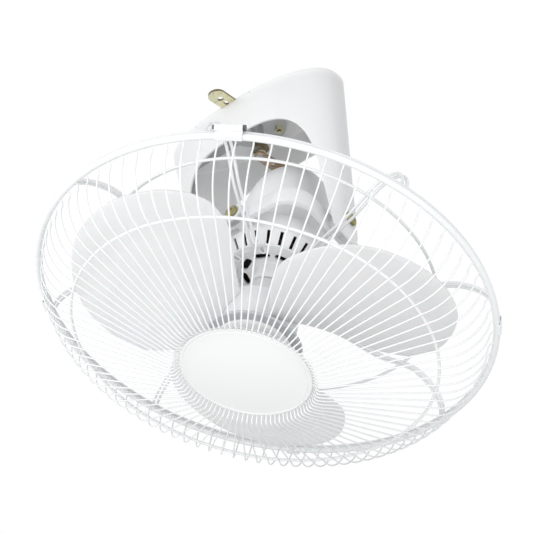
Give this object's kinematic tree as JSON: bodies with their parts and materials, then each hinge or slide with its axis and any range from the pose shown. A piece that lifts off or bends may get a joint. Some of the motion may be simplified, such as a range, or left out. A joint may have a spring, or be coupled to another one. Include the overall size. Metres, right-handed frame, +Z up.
{
  "type": "orbital ceiling fan",
  "caption": "Guarded ceiling fan head with wide paddle blades, hung in a two-axis gimbal under an oval arched hood and led round in an orbit by a rear crank.",
  "frame": {"origin": "centre of the ceiling face, on the hood's axis", "axes": "+Z up into the ceiling, +X along the hood and the outer gimbal axis, +Y along the ceiling plate"},
  "size_m": [0.4566, 0.4304, 0.3643],
  "materials": {
    "white_plastic": "satin white moulding",
    "white_wire": "white powder coat",
    "white_enamel": "white stoving enamel",
    "grey_plastic": "matt grey",
    "zinc": "yellow zinc plate",
    "steel": "bare steel",
    "cast": "die cast",
    "nylon": "nylon",
    "dark": "matt black",
    "laminate": "stacked laminations",
    "copper": "varnished copper",
    "worm_brass": "machined",
    "orange": "orange fibre",
    "brown_steel": "brown passivated"
  },
  "bodies": {
    "base": {"hood": "white_plastic", "mounting_plate": "zinc", "frame_nuts": "zinc", "yoke": "steel", "ball_bracket": "steel", "pivot_screws": "zinc", "terminal_block": "nylon", "capacitor": "dark"},
    "gimbal": {"gimbal_frame": "white_enamel", "outer_bushes": "nylon", "inner_bushes": "nylon", "tilt_clamp": "steel"},
    "head": {"inner_pivot_screws": "zinc", "motor_front_shell": "white_enamel", "motor_body": "white_enamel", "rear_cover": "white_plastic", "stator_core": "laminate", "coils": "copper", "front_bearing": "steel", "rear_bearing": "steel", "gearbox_case": "cast", "gearbox_lid": "cast", "output_bush": "nylon", "lead_grommet": "dark", "guard_plate": "white_enamel", "guard_screws": "zinc", "rear_arms": "white_wire", "rear_hoop": "white_wire", "rear_ring": "white_wire", "guard_band": "white_plastic", "band_clamp": "white_plastic", "clamp_bolt": "steel", "band_clips": "white_plastic", "front_wires": "white_wire", "front_hoop": "white_wire", "wire_plate": "white_plastic", "badge": "white_plastic"},
    "rotor": {"shaft": "steel", "rotor_core": "laminate", "main_worm": "worm_brass", "hub": "white_plastic", "drive_pin": "steel", "hub_nut": "zinc", "fan_blades": "white_plastic", "spinner_ring": "grey_plastic", "spinner_cap": "white_plastic"},
    "cross_gear": {"cross_shaft": "steel", "cross_wheel": "nylon", "cross_worm": "worm_brass"},
    "lay_gear": {"lay_shaft": "steel", "lay_wheel": "nylon", "lay_pinion": "steel"},
    "crank": {"output_gear": "nylon", "output_shaft": "steel", "crank_arm": "brown_steel", "ball_stud": "steel", "nylon_ball": "nylon", "friction_washer": "orange", "dome_nut": "zinc"}
  },
  "joints": [
    {"name": "gimbal_outer", "type": "hinge", "parent": "base", "child": "gimbal", "pos_m": [0, 0, -0.1775], "axis": [1, 0, 0], "range_deg": [-1.2, 43.2]},
    {"name": "gimbal_inner", "type": "hinge", "parent": "gimbal", "child": "head", "pos_m": [0, 0, -0.1775], "axis": [0, 0.9336, -0.3584], "range_deg": [-29.2, 15.2]},
    {"name": "fan_spin", "type": "hinge", "parent": "head", "child": "rotor", "pos_m": [0, 0, -0.1775], "axis": [0.1219, 0.3557, 0.9266], "continuous": true},
    {"name": "cross_spin", "type": "hinge", "parent": "head", "child": "cross_gear", "pos_m": [0.00719, 0.03574, -0.12849], "axis": [0.9925, -0.0437, -0.1138], "continuous": true},
    {"name": "lay_spin", "type": "hinge", "parent": "head", "child": "lay_gear", "pos_m": [0.02605, 0.02128, -0.12542], "axis": [0.1219, 0.3557, 0.9266], "continuous": true},
    {"name": "crank_turn", "type": "hinge", "parent": "head", "child": "crank", "pos_m": [0.00719, 0.02099, -0.12283], "axis": [0.1219, 0.3557, 0.9266], "continuous": true}
  ],
  "couplings": [
    {"joint": "cross_spin", "follows": "fan_spin", "ratio": 0.11111},
    {"joint": "lay_spin", "follows": "fan_spin", "ratio": 0.013889},
    {"joint": "crank_turn", "follows": "fan_spin", "ratio": -0.0055556}
  ]
}
